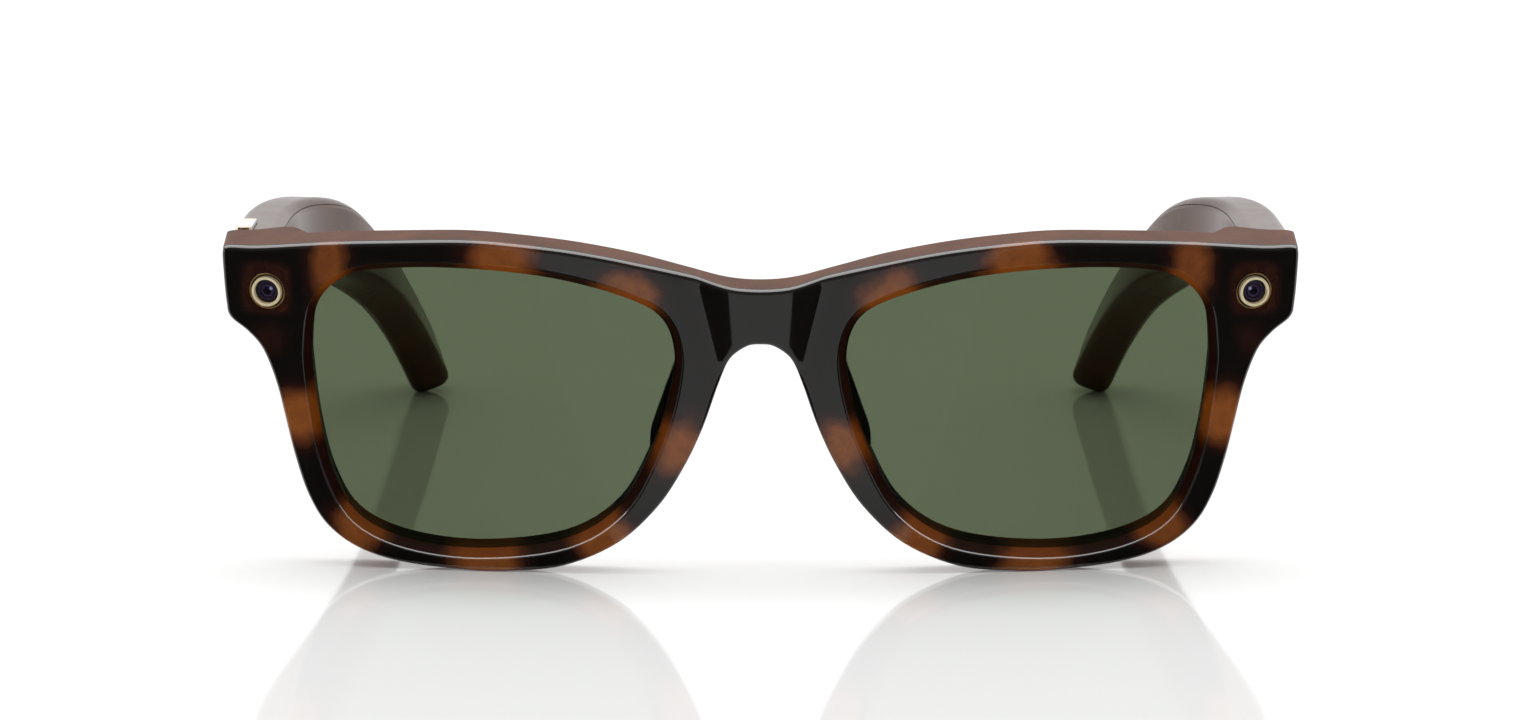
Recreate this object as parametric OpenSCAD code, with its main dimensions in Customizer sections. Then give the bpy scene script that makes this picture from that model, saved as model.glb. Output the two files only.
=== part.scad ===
// Smart glasses with a full-rim front, a camera, an indicator light and electronics in both temples.
// Millimetres. +X is the wearer's left, +Y points back along the temples, +Z is up.
// The glasses stand as on a table, on the rims and the temple tips.

/* [Front] */
// Width of a lens opening
lens_w = 49.1; // [40:0.1:60]
// Height of a lens opening
lens_h = 39.2; // [32:0.1:48]
// Gap between the lens openings at the nose
bridge_w = 23.2; // [18:0.1:29]
// Rim height under the lens
rim_low = 2.9; // [2.4:0.1:4]
// Rim height over the lens
rim_top = 4.3; // [3.6:0.1:6]
// Width of an end piece, from the lens opening to the side
end_w = 12; // [11:0.1:15]
// Thickness of the front
front_t = 6; // [5.5:0.1:7.5]
// Radius that the front is curved to
front_r = 280; // [220:1:400]
// Tilt of the front, top forward
tilt = 6; // [2:0.5:10]
// Thickness of a lens
lens_t = 2; // [1.6:0.1:2.4]

/* [Modules] */
// Outer diameter of the camera and light rings
ring_d = 5; // [4.2:0.1:6]
// Height of the modules' axis above the foot of the rim
module_v = 37.9; // [36:0.1:39]
// Distance of the modules' axis from the end piece's side
module_in = 5.9; // [5.5:0.1:7]

/* [Temples] */
// Length of a temple along its middle
temple_len = 141.5; // [115:0.5:170]
// Height of a temple along its middle stretch
temple_h = 11.3; // [10.8:0.1:13.6]
// Thickness of a temple at the hinge
temple_t = 7; // [6.4:0.1:8.4]
// Height of a temple at its tip
tip_h = 10.4; // [8.5:0.1:12.5]
// Thickness of a temple at its tip
tip_t = 6.2; // [5:0.1:7.4]
// Inward lean of the rear half, in plan
toe_in = 13; // [8:0.5:15]
// Wall of the temple shell
wall = 1.3; // [1:0.1:1.6]

/* [Hinges] */
// Diameter of the hinge pin
pin_d = 1.2; // [1:0.1:1.6]
// Outer diameter of the hinge knuckles
knuckle_d = 3.6; // [3.2:0.1:4.2]
// Height of the hinge
hinge_h = 7.4; // [6:0.1:8]

/* [Controls] */
// Length of the capture button
button_len = 14; // [11:0.1:17]
// Width of the capture button
button_w = 2.2; // [1.8:0.1:2.6]
// Travel of the capture button
button_travel = 0.3; // [0.2:0.05:0.4]
// Travel of the power slider
slider_travel = 2; // [1.5:0.1:3]

/* [Hidden] */
$fn = 40;
BIG = 256;
gap = 0.3;
slack = 0.1;
pin_play = 0.04;

TORTOISE = "#3a2418";
SMOKE = "#2a211c";
GREEN = [0.36, 0.41, 0.30, 0.6];
GOLD = "#d9c79a";
STEEL = "#b9bcc0";
BLACK = "#17181a";
BOARD = "#1d5a3a";
COPPER = "#b5713a";

// ---- outline of the front, in its own plane: u across, v up from the foot of the rim

lens_cu = bridge_w/2 + lens_w/2;
lens_cv = rim_low + lens_h/2;
half_w = lens_cu + lens_w/2 + end_w;
front_h = rim_low + lens_h + rim_top;
end_top = front_h - 2.4;
brow_mid = front_h - 6.1;
bridge_h = 7.7;
arch_v = brow_mid - bridge_h;
ring_u = half_w - module_in;

function lens_pt(a, b, g = 0) = [lens_cu + a*(lens_w/2 + g), lens_cv + b*(lens_h/2 + g)];

// The lens opening, as shares of its half width and half height
LENS = [[1, 0.434], [0.955, 0.735], [0.78, 0.929], [0.483, 0.992], [0.075, 1], [-0.332, 0.954],
    [-0.699, 0.842], [-0.919, 0.699], [-1, 0.444], [-0.967, 0.102], [-0.861, -0.291],
    [-0.69, -0.668], [-0.397, -0.908], [0.075, -1], [0.483, -0.954], [0.752, -0.801],
    [0.886, -0.52], [0.955, -0.179], [0.992, 0.179]];

// The foot of one rim, from the nose to the side, as shares of the lens with its rim
RIM = [[-1.109, 0.187], [-1.036, -0.067], [-0.942, -0.316], [-0.811, -0.569], [-0.614, -0.8],
    [-0.348, -0.951], [-0.078, -0.996], [0.14, -1], [0.461, -0.969], [0.679, -0.893],
    [0.832, -0.76], [0.923, -0.578], [0.985, -0.347], [1.033, -0.098], [1.076, 0.12],
    [1.138, 0.316]];

function over_lens(a, v) = [lens_cu + a*lens_w/2, v];

// One half of the outline, from the middle of the nose arch to the middle of the brow
HALF = concat(
    [[0, arch_v], [0.082*bridge_w, arch_v - 0.3], [0.177*bridge_w, arch_v - 2.1]],
    [for (p = RIM) lens_pt(p[0], p[1], rim_low)],
    [[half_w - 3.3, end_top - 12], [half_w - 0.9, end_top - 10.1], [half_w - 0.35, end_top - 8],
     [half_w, end_top - 3.2], [half_w, end_top - 0.8], [half_w - 0.7, end_top],
     [half_w - 4.9, end_top + 0.2]],
    [over_lens(0.89, front_h - 1.1), over_lens(0.564, front_h - 0.5), over_lens(0.157, front_h),
     over_lens(-0.128, front_h - 0.3), over_lens(-0.454, front_h - 1.1),
     over_lens(-0.78, front_h - 2.5), over_lens(-1.065, front_h - 4.3)],
    [[0.2*bridge_w, front_h - 5.7], [0, brow_mid]]);
BROW_FROM = len(HALF) - 10;
BROW = [for (i = [BROW_FROM:len(HALF) - 1]) HALF[i]];

function mirrored(points) = [for (i = [len(points) - 2:-1:1]) [-points[i][0], points[i][1]]];
OUTLINE = concat(HALF, mirrored(HALF));

// Smooth curve through points
function blend(a, b, c, d, t) =
    0.5*(2*b + (c - a)*t + (2*a - 5*b + 4*c - d)*t*t + (3*b - a - 3*c + d)*t*t*t);
function closed_curve(p, steps) = [for (i = [0:len(p) - 1], k = [0:steps - 1])
    blend(p[(i + len(p) - 1) % len(p)], p[i], p[(i + 1) % len(p)], p[(i + 2) % len(p)], k/steps)];
function at_end(p, i) = p[min(max(i, 0), len(p) - 1)];
function open_curve(p, steps) = concat([for (i = [0:len(p) - 2], k = [0:steps - 1])
    blend(at_end(p, i - 1), p[i], p[i + 1], at_end(p, i + 2), k/steps)], [p[len(p) - 1]]);
brow_line = open_curve(BROW, 3);

module lens_outline(grow = 0) {
    polygon(closed_curve([for (p = LENS) lens_pt(p[0], p[1], grow)], 3));
}

// A band that follows the top edge, from depth a to depth b under it, out to the distance reach
module brow_band(a, b, reach) {
    right = [for (p = brow_line) if (p[0] <= reach) p];
    line = concat(right, [for (i = [len(right) - 2:-1:0]) [-right[i][0], right[i][1]]]);
    polygon(concat([for (p = line) p - [0, a]], [for (i = [len(line) - 1:-1:0]) line[i] - [0, b]]));
}

// Extrudes an outline of the front from front to back
module through(from = -2, to = 30) {
    translate([0, to, 0]) rotate([90, 0, 0]) linear_extrude(to - from) children();
}

// The curved slab between two depths behind the outer face
module slab(from, to) {
    translate([0, front_r, -5]) difference() {
        cylinder(r = front_r - from, h = front_h + 15, $fn = BIG);
        translate([0, 0, -1]) cylinder(r = front_r - to, h = front_h + 17, $fn = BIG);
        translate([-front_r - 1, -20, -1]) cube([2*front_r + 2, 2*front_r, front_h + 17]);
    }
}

function sag(u) = front_r - sqrt(front_r*front_r - u*u);

// Puts its children on the outer face at (u, v), with -Y pointing out of the face
module on_face(u, v) {
    translate([0, front_r, v]) rotate([0, 0, asin(u/front_r)]) translate([0, -front_r, 0]) children();
}

// A round pin along -Y, from depth a to depth b behind the face
module plug(d, a, b) {
    translate([0, b, 0]) rotate([90, 0, 0]) cylinder(d = d, h = b - a);
}

module ring(od, id, a, b) {
    difference() {
        plug(od, a, b);
        plug(id, a - 1, b + 1);
    }
}

// ---- how the front and the temples stand

foot_u = lens_cu + 0.14*(lens_w/2 + rim_low);
drop = sag(foot_u)*sin(tilt);
// The seams stand behind the rear face of the end pieces, on a half millimetre
block_h = 13;
rear_end = (front_r - sqrt(pow(front_r - front_t, 2) - half_w*half_w))*cos(tilt);
seam_y = ceil(2*(rear_end - (end_top - block_h)*sin(tilt) + gap))/2;
temple_y = seam_y + gap;
top_z = end_top*cos(tilt) + (seam_y/cos(tilt) + end_top*tan(tilt))*sin(tilt) - 0.9;
front_y = min([for (p = OUTLINE) sag(p[0])*cos(tilt) - p[1]*sin(tilt)]);

// ---- the line of a temple: slope, lean and roll along it, and its middle line

base_slope = 3.7;
base_lean = -0.5;
roll_max = 26;
spine_drop = 5.9;
N = 60;
hinge_end_h = 10;

function ease(a, b, x) = let (t = min(max((x - a)/(b - a), 0), 1)) t*t*(3 - 2*t);
bend_from = 41;
lean_from = 26;
lean_to = 78;
roll_from = 63;
roll_to = 110;

function slope(s, last) = base_slope + (last - base_slope)*ease(bend_from, temple_len + 1.5, s);
function lean(s) = base_lean + (toe_in - base_lean)*ease(lean_from, lean_to, s);
function roll(s) = roll_max*ease(roll_from, roll_to, s);
function along(s, last) = let (a = slope(s, last), b = lean(s)) [-cos(a)*sin(b), cos(a)*cos(b), -sin(a)];
function rise(s, last) = let (a = slope(s, last), b = lean(s)) [-sin(a)*sin(b), sin(a)*cos(b), cos(a)];
function height(s) = hinge_end_h + (temple_h - hinge_end_h)*ease(2, 25, s)
    + (tip_h - temple_h)*ease(90, 130, s);
function thick(s) = temple_t + (tip_t - temple_t)*ease(0, temple_len, s);

start = [half_w - temple_t/2, temple_y, top_z - spine_drop];
step = temple_len/N;
function spine(last) =
    [for (i = 0, p = start; i <= N; p = p + step*along((i + 0.5)*step, last), i = i + 1) p];

// The frame of the temple at s: middle, outward, along, up
function frame_at(s, line, last) =
    let (i = min(floor(s/step), N - 1), p = line[i] + (line[i + 1] - line[i])*(s/step - i),
        d = along(s, last), r = rise(s, last), side = cross(d, r), t = roll(s),
        up = r*cos(t) + side*sin(t), out = side*cos(t) - r*sin(t))
    [p + r*(spine_drop - height(s)/2), out, d, up];

// The tip is rounded over tip_r
tip_r = tip_h/2;
function cap(s) = let (t = max(0, (s - temple_len + tip_r)/tip_r)) sqrt(max(1 - t*t, 0.002));
CORNER = 1.7;
function ring_at(s, line, last) =
    let (f = frame_at(s, line, last), c = cap(s), hh = height(s)/2*c, ww = thick(s)/2*(0.45 + 0.55*c),
        r = min(CORNER, hh*0.6, ww*0.6))
    [for (q = [[1, 1, 0], [-1, 1, 90], [-1, -1, 180], [1, -1, 270]], a = [0, 45, 90])
        f[0] + f[1]*(q[0]*(ww - r) + r*cos(q[2] + a)) + f[3]*(q[1]*(hh - r) + r*sin(q[2] + a))];

// The ear bend is what brings the rounded tip down to the table
TIP_STEPS = [0, 0.3, 0.55, 0.75, 0.88, 0.96, 1];
function lowest(last) = let (line = spine(last))
    min([for (t = TIP_STEPS, p = ring_at(temple_len - tip_r + t*tip_r, line, last)) p[2]]);
function solve(a, b, n) = n == 0 ? (a + b)/2 :
    let (m = (a + b)/2) lowest(m) > 0 ? solve(m, b, n - 1) : solve(a, m, n - 1);
last_slope = solve(5, 80, 16);
LINE = spine(last_slope);
function frame(s) = frame_at(s, LINE, last_slope);

STATIONS = concat([for (i = [0:27]) i*(temple_len - tip_r)/27],
    [for (i = [1:len(TIP_STEPS) - 1]) temple_len - tip_r + TIP_STEPS[i]*tip_r]);
back_y = max([for (t = TIP_STEPS, p = ring_at(temple_len - tip_r + t*tip_r, LINE, last_slope)) p[1]]);
mid_y = (front_y + back_y)/2;

// ---- places shared by pieces

hinge_x = half_w - temple_t + 0.5;
hinge_y = seam_y + knuckle_d/2 + 0.6;
hinge_top = top_z - 1.3;
hinge_low = hinge_top - hinge_h;
knuckle_h = hinge_h/3 - 0.1;
plate_deep = 1.6;
plate_t = 1.2;
screw_d = 1;
PLATE_SCREWS = [4.2, 6.4];
cavity_from = 18;
cavity_to = 98;
cover_t = 1.2;
button_s = 2.2 + button_len/2;
button_o = temple_t/2 - 2.1;
button_deep = 1.3;
button_proud = 0.6;
slider_s = 27;
speaker_s = 72;
mic_s = 20.5;
groove = 0.6;
lens_from = 1.6;
channel_from = front_t - 3;

// ---- placing

module placed() {
    translate([0, -mid_y, 0]) children();
}

// The front's own plane, tilted top forward, with the rims' feet on the table
module front_plane() {
    translate([0, -mid_y, 0]) rotate([tilt, 0, 0]) translate([0, 0, -drop/cos(tilt)])
        children();
}

module side(left) {
    if (left) children();
    else mirror([1, 0, 0]) children();
}

// The frame of the wearer's left temple at s: +X outward, +Y along, +Z up
module at_temple(s) {
    f = frame(s);
    multmatrix([[f[1][0], f[2][0], f[3][0], f[0][0]], [f[1][1], f[2][1], f[3][1], f[0][1]],
        [f[1][2], f[2][2], f[3][2], f[0][2]]]) children();
}

// A closed solid through rings of points
module swept(rings) {
    n = len(rings[0]);
    m = len(rings);
    polyhedron(points = [for (r = rings, p = r) p],
        faces = concat([[for (i = [n - 1:-1:0]) i]], [[for (i = [0:n - 1]) (m - 1)*n + i]],
            [for (k = [0:m - 2], i = [0:n - 1], h = [0, 1]) h == 0
                ? [k*n + i, (k + 1)*n + (i + 1) % n, (k + 1)*n + i]
                : [k*n + i, k*n + (i + 1) % n, (k + 1)*n + (i + 1) % n]]),
        convexity = 6);
}

// A box that follows the temple from s a to s b: o is outward and u is up, each a function of s
function strip_ring(s, o0, o1, u0, u1) = let (f = frame(s))
    [for (q = [[o1, u0], [o1, u1], [o0, u1], [o0, u0]]) f[0] + f[1]*q[0] + f[3]*q[1]];
module strip(a, b, o0, o1, u0, u1, n = 2) {
    swept([for (i = [0:n]) let (s = a + (b - a)*i/n) strip_ring(s, o0, o1, u0, u1)]);
}

// ---- front

// The end pieces are deepened, behind the curved face, to the seams with the temples
module end_blocks() {
    for (m = [0, 1]) mirror([m, 0, 0]) intersection() {
        through(2, 30) intersection() {
            polygon(closed_curve(OUTLINE, 3));
            translate([half_w - 10.6, end_top - block_h]) square([20, 20]);
        }
        translate([0, front_r, -5]) cylinder(r = front_r - 1, h = front_h + 15, $fn = BIG);
        translate([0, 0, drop/cos(tilt)]) rotate([-tilt, 0, 0])
            translate([0, -20, 0]) cube([100, 20 + seam_y, top_z + 0.2]);
    }
}

module front_frame() {
    color(TORTOISE) front_plane() difference() {
        union() {
            intersection() {
                slab(0, front_t);
                through() polygon(closed_curve(OUTLINE, 3));
            }
            end_blocks();
        }
        for (m = [0, 1]) mirror([m, 0, 0]) {
            through(-3, 32) lens_outline();
            intersection() {
                slab(lens_from - slack, lens_from + lens_t + slack);
                through() lens_outline(groove + slack);
            }
            on_face(ring_u, module_v) {
                plug(ring_d + 2*slack, -3, room_from + 0.2);
                translate([-3.4, room_from, -3.6]) cube([6.8, room_deep, 7.2]);
            }
            hinge_pocket();
        }
        intersection() {
            slab(channel_from, front_t + 1);
            through() brow_band(1.1, 3.3, ring_u - 2);
        }
        intersection() {
            slab(front_t - cover_t, front_t + 1);
            through() brow_band(0.6, 3.7, half_w - 13);
        }
        bridge_pocket();
    }
}

// The room for a module's body and board starts room_from behind the face
room_from = 3;
room_deep = 2.8;
bridge_v = arch_v + 2.4;
carrier_w = 8;
carrier_h = 2.8;
contact_d = 1.5;

module bridge_pocket() {
    translate([-carrier_w/2 - slack, front_t - 1.5, bridge_v - carrier_h/2 - slack])
        cube([carrier_w + 2*slack, 4, carrier_h + 2*slack]);
    translate([-1.6, channel_from - 0.2, bridge_v - 0.8]) cube([3.2, 1.8, brow_mid - bridge_v - 1]);
}

// The pocket for the front hinge plate, in the front's plane
module hinge_pocket() {
    translate([0, 0, drop/cos(tilt)]) rotate([-tilt, 0, 0])
        translate([hinge_x - knuckle_d/2 - slack, seam_y - plate_deep - slack, hinge_low - slack])
            cube([knuckle_d + 2*slack, plate_deep + 3, hinge_h + 2*slack]);
}
module rear_cover() {
    color(TORTOISE) front_plane() difference() {
        intersection() {
            slab(front_t - cover_t + 0.02, front_t);
            through() brow_band(0.6 + slack, 3.7 - slack, half_w - 13.3);
        }
        for (u = COVER_SCREWS) on_face(u, cover_v(u)) plug(screw_d + slack, 0, 10);
        on_face(status_u, cover_v(status_u)) plug(status_d + slack, 0, 10);
    }
}

COVER_SCREWS = [for (a = [-0.56, 0.66]) for (m = [-1, 1]) m*(lens_cu + a*lens_w/2)];
status_u = half_w - 17;
status_d = 1.2;
function cover_v(u) = let (p = [for (q = brow_line) if (q[0] >= abs(u)) q]) p[len(p) - 1][1] - 2.15;

module rear_cover_screws() {
    color(STEEL) front_plane() for (u = COVER_SCREWS) on_face(u, cover_v(u))
        plug(screw_d, front_t - cover_t - slack, front_t + 0.02);
}

module lens(left) {
    color(GREEN) front_plane() side(left) intersection() {
        slab(lens_from, lens_from + lens_t);
        through() lens_outline(groove);
    }
}

// A pad on the flank of the nose arch, behind the rim
module nose_pad(left) {
    color(TORTOISE) front_plane() side(left) difference() {
        hull() {
            translate([bridge_w/2 - 1.8, front_t, arch_v - 7]) scale([1, 1.4, 2.6]) pad_ball(2.2);
            translate([bridge_w/2 + 1.2, front_t, arch_v - 15]) scale([1, 1.4, 2.2]) pad_ball(2.2);
            translate([bridge_w/2 + 0.4, front_t + 3.6, arch_v - 12.4]) scale([0.8, 1, 2.6]) pad_ball(2);
        }
        translate([0, front_r, -5]) difference() {
            cylinder(r = front_r + 20, h = 80, $fn = BIG);
            translate([0, 0, -1]) cylinder(r = front_r - front_t, h = 82, $fn = BIG);
        }
    }
}

module pad_ball(r) {
    sphere(r = r, $fn = 24);
}

// ---- camera and indicator light, on the front's end pieces

module in_module(left) {
    front_plane() side(left) on_face(ring_u, module_v) children();
}

glass_d = ring_d - 1.5;

module module_ring(left) {
    color(GOLD) in_module(left) difference() {
        union() {
            ring(ring_d, glass_d - 0.5, 0.5, room_from - slack);
            ring(ring_d - 0.9, glass_d - 0.1, -0.05, 0.6);
        }
        plug(glass_d + 0.04, 0.55, 1.45);
    }
}

module module_glass(left) {
    color([0.15, 0.15, 0.2, 0.6]) in_module(left) plug(glass_d, 0.6, 1.4);
}

element_d = glass_d - 1.5;
board_from = room_from + 1.9;

module camera_barrel() {
    color(BLACK) in_module(true) difference() {
        union() {
            plug(glass_d - 0.8, 1.6, room_from + 0.2);
            plug(ring_d - 0.2, room_from + 0.2, board_from - slack);
        }
        plug(element_d + 2*pin_play, 1, room_from + 0.2);
        plug(element_d - 0.4, room_from, room_from + 1.3);
    }
}

module camera_element() {
    color([0.2, 0.15, 0.4, 0.7]) in_module(true) {
        plug(element_d, 1.9, room_from);
        plug(element_d - 0.5, room_from + 0.3, room_from + 1.2);
    }
}

module module_board(left) {
    color(BOARD) in_module(left) translate([-3.1, board_from, -3.2]) cube([6.2, 0.6, 6.4]);
}

module light_pipe() {
    color([0.95, 0.95, 0.92, 0.8]) in_module(false) {
        plug(glass_d - 0.7, 1.6, room_from + 0.2);
        plug(ring_d - 0.4, room_from + 0.2, board_from - slack);
    }
}

module front_flex() {
    color(COPPER) front_plane() intersection() {
        slab(channel_from + 0.4, channel_from + 0.7);
        through() brow_band(1.3, 3.1, ring_u - 4.4);
    }
}

module bridge_microphone() {
    color(STEEL) front_plane() translate([-1.4, channel_from + 0.75, brow_mid - 3]) cube([2.8, 0.95, 1.6]);
}

module charging_carrier() {
    color(BLACK) front_plane() difference() {
        translate([-carrier_w/2, front_t - 1.4, bridge_v - carrier_h/2]) cube([carrier_w, 1.5, carrier_h]);
        contact_pins(contact_d + 0.02);
    }
}

module contact_pins(d) {
    for (k = [-1, 0, 1]) translate([k*2.6, 0, bridge_v]) plug(d, front_t - 1.4, front_t + 0.1);
}

module charging_contacts() {
    color(GOLD) front_plane() contact_pins(contact_d);
}

module status_light() {
    color([0.95, 0.98, 0.95, 0.9]) front_plane() on_face(status_u, cover_v(status_u))
        plug(status_d, front_t - cover_t + 0.05, front_t);
}

// ---- hinges, upright

module front_hinge(left) {
    color(STEEL) placed() side(left) difference() {
        union() {
            translate([hinge_x - knuckle_d/2, seam_y - plate_deep, hinge_low])
                cube([knuckle_d, plate_deep + gap/2, hinge_h]);
            for (k = [0, 2]) translate([hinge_x, hinge_y, hinge_low + k*hinge_h/3]) {
                cylinder(d = knuckle_d, h = knuckle_h + (k > 0 ? 0.1 : 0));
                translate([-knuckle_d/2, seam_y - hinge_y - 0.1, 0])
                    cube([knuckle_d, hinge_y - seam_y + 0.1, knuckle_h + (k > 0 ? 0.1 : 0)]);
            }
        }
        translate([hinge_x, hinge_y, hinge_low - 1]) cylinder(d = pin_d + pin_play, h = hinge_h + 2);
        translate([hinge_x, seam_y + 1, hinge_low + hinge_h/2])
            rotate([90, 0, 0]) cylinder(d = screw_d + slack, h = 8);
    }
}

module hinge_anchor_screws() {
    color(STEEL) placed() for (l = [true, false]) side(l)
        translate([hinge_x, seam_y, hinge_low + hinge_h/2])
            rotate([90, 0, 0]) cylinder(d = screw_d, h = plate_deep);
}

module hinge_pin(left) {
    color(STEEL) placed() side(left) translate([hinge_x, hinge_y, hinge_low + slack])
        cylinder(d = pin_d, h = hinge_h - 2*slack);
}

module temple_hinge(left) {
    color(STEEL) placed() side(left) difference() {
        union() {
            translate([hinge_x, hinge_y, hinge_low + hinge_h/3]) {
                cylinder(d = knuckle_d, h = knuckle_h);
                cube([knuckle_d/2, 3.4, knuckle_h]);
            }
            translate([hinge_x + knuckle_d/2 - plate_t, hinge_y + knuckle_d/2 + 0.5, hinge_low + 0.4])
                cube([plate_t, 7, hinge_h - 1.6]);
        }
        translate([hinge_x, hinge_y, hinge_low]) cylinder(d = pin_d + 2*pin_play, h = hinge_h);
        for (y = PLATE_SCREWS) translate([hinge_x, hinge_y + y, hinge_low + hinge_h/2 - 0.2])
            rotate([0, 90, 0]) cylinder(d = screw_d + slack, h = 8, center = true);
    }
}

module temple_hinge_screws(left) {
    color(STEEL) placed() side(left) for (y = PLATE_SCREWS)
        translate([hinge_x + knuckle_d/2 - plate_t, hinge_y + y, hinge_low + hinge_h/2 - 0.2])
            rotate([0, 90, 0]) cylinder(d = screw_d, h = plate_t);
}

// Room in a temple for both hinge plates and the swing of the front knuckles
module hinge_room() {
    r = knuckle_d/2 + gap;
    translate([hinge_x, hinge_y, hinge_low - gap]) cylinder(r = r, h = hinge_h + 2*gap);
    translate([hinge_x - 6, temple_y - 2, hinge_low - gap])
        cube([6 + r, hinge_y - temple_y + 2, hinge_h + 2*gap]);
    translate([hinge_x + knuckle_d/2 - plate_t - slack, hinge_y, hinge_low + 0.4 - slack])
        cube([plate_t + 2*slack, knuckle_d/2 + 7.6, hinge_h - 1.6 + 2*slack]);
    translate([hinge_x - 4, hinge_y, hinge_low + hinge_h/3 - gap])
        cube([4 + knuckle_d/2 + slack, 3.7, knuckle_h + 2*gap]);
}

// ---- temples

module temple_body() {
    swept([for (s = STATIONS) ring_at(s, LINE, last_slope)]);
}

cav_u = temple_h/2 - wall - 0.4;
cav_out = tip_t/2 - wall;

module temple_cavity() {
    strip(cavity_from, cavity_to, -8, cav_out, -cav_u, cav_u, 12);
    strip(cavity_from - 1.2, cavity_to + 1.2, -8, -tip_t/2 + cover_t, -cav_u - 0.7, cav_u + 0.7, 12);
}

module temple_shell(left) {
    color(TORTOISE) placed() side(left) difference() {
        temple_body();
        temple_cavity();
        hinge_room();
        at_temple(speaker_s) for (k = [-1, 1]) translate([-0.9, k*2.2 - 1.2, -temple_h/2 - 1])
            cube([1.8, 2.4, 4]);
        at_temple(mic_s) translate([cav_out - 1.2, 0, -temple_h/2 - 1]) cylinder(d = 0.8, h = 4);
        if (!left) button_room();
    }
}

module temple_cover(left) {
    color(TORTOISE) placed() side(left) difference() {
        intersection() {
            temple_body();
            strip(cavity_from - 1.2 + slack, cavity_to + 1.2 - slack, -8, -tip_t/2 + cover_t - 0.02,
                -cav_u - 0.7 + slack, cav_u + 0.7 - slack, 12);
        }
        for (s = COVER_S) at_temple(s) cover_screw(1.25);
        if (left) at_temple(slider_s) translate([-8, -slider_len/2 - slack, -0.9 - slack])
            cube([9, slider_len + slider_travel + 2*slack, 1.8 + 2*slack]);
    }
}

COVER_S = [cavity_from + 1.2, cavity_to - 1.2];
slider_len = 3.4;

module cover_screw(d) {
    translate([-6, 0, 0]) rotate([0, 90, 0]) cylinder(d = d, h = 6 - tip_t/2 + cover_t + 1);
}

module cover_screws(left) {
    color(STEEL) placed() side(left) for (s = COVER_S) at_temple(s)
        translate([-tip_t/2 + 0.1, 0, 0]) rotate([0, 90, 0]) cylinder(d = 1.2, h = cover_t - 0.1);
}

// ---- capture button

module pill(len, w, h) {
    linear_extrude(h) {
        square([w, len - w], center = true);
        for (k = [-1, 1]) translate([0, k*(len - w)/2]) circle(d = w);
    }
}

module at_button() {
    at_temple(button_s) translate([button_o, 0, height(button_s)/2]) children();
}

module button_room() {
    at_button() {
        translate([0, 0, -button_deep - button_travel - slack])
            pill(button_len + 2*slack, button_w + 2*slack, 6);
        translate([0, 0, -3.2]) cylinder(d = stem_d + 3*slack, h = 3);
        translate([-1.6, -2.6, -4.4]) cube([3.2, 16, 1.9]);
    }
}

cap_len = 2.4;
stem_d = 1.2;
module button_blank() {
    translate([0, 0, -button_deep]) pill(button_len, button_w, button_deep + button_proud);
}

module capture_button() {
    color("#c9c9c9") placed() side(false) at_button() {
        intersection() {
            button_blank();
            cube([5, button_len - 2*cap_len, 8], center = true);
        }
        translate([0, 0, -2.5]) cylinder(d = stem_d, h = 1.4);
    }
}

module button_caps() {
    color(GOLD) placed() side(false) at_button() difference() {
        button_blank();
        cube([5, button_len - 2*cap_len, 8], center = true);
    }
}

module button_switch() {
    color(BLACK) placed() side(false) at_button() {
        translate([-1.4, -2.2, -4.3]) cube([2.8, 4.4, 1.3]);
    }
}

// ---- inside the temples

module main_board() {
    color(BOARD) placed() side(false) strip(cavity_from + 4, 44, 0.1, 0.7, -3.4, 3.4, 6);
}

module board_shield() {
    color(STEEL) placed() side(false) strip(cavity_from + 6, 42, -1.1, 0, -2.8, 2.8, 6);
}

module touch_strip() {
    color(COPPER) placed() side(false) strip(24, 64, cav_out - 0.35, cav_out - 0.05, -3.2, 3.2, 6);
}

module battery(left) {
    color("#5c6066") placed() side(left) strip(left ? 33 : 80, left ? 64 : 96, -1.4, 0.9, -3.5, 3.5, 8);
}

module speaker(left) {
    color(BLACK) placed() side(left) at_temple(speaker_s) translate([-1.3, -4.6, -cav_u + 0.5])
        cube([2.6, 9.2, 5.4]);
}

module speaker_grille(left) {
    color(STEEL) placed() side(left) at_temple(speaker_s) for (k = [-1, 1])
        translate([-0.85, k*2.2 - 1.15, -temple_h/2 + 0.35]) cube([1.7, 2.3, 0.5]);
}

module temple_microphone(left) {
    color(STEEL) placed() side(left) at_temple(mic_s) translate([cav_out - 2.2, -1.4, -cav_u + 0.2])
        cube([1.7, 2.8, 1]);
}

module temple_flex(left) {
    color(COPPER) placed() side(left) strip(cavity_from + 0.4, 64, 1.12, 1.27, -0.9, 0.9, 9);
}

module antenna() {
    color(COPPER) placed() side(true) strip(24, 64, cav_out - 0.35, cav_out - 0.05, 1, 3.2, 6);
}

module power_switch() {
    color(BLACK) placed() side(true) at_temple(slider_s) translate([-0.6, -2.6, -1.9]) cube([1.6, 7, 3.8]);
}

module power_slider() {
    color("#c9c9c9") placed() side(true) at_temple(slider_s) {
        translate([-thick(slider_s)/2 - 0.35, -slider_len/2, -0.9])
            cube([thick(slider_s)/2 + 0.35 - tip_t/2 + cover_t + 0.6, slider_len, 1.8]);
        translate([-tip_t/2 + cover_t + 0.1, -slider_len/2 - 0.6, -1.6]) cube([0.5, slider_len + 1.2, 3.2]);
    }
}

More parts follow.
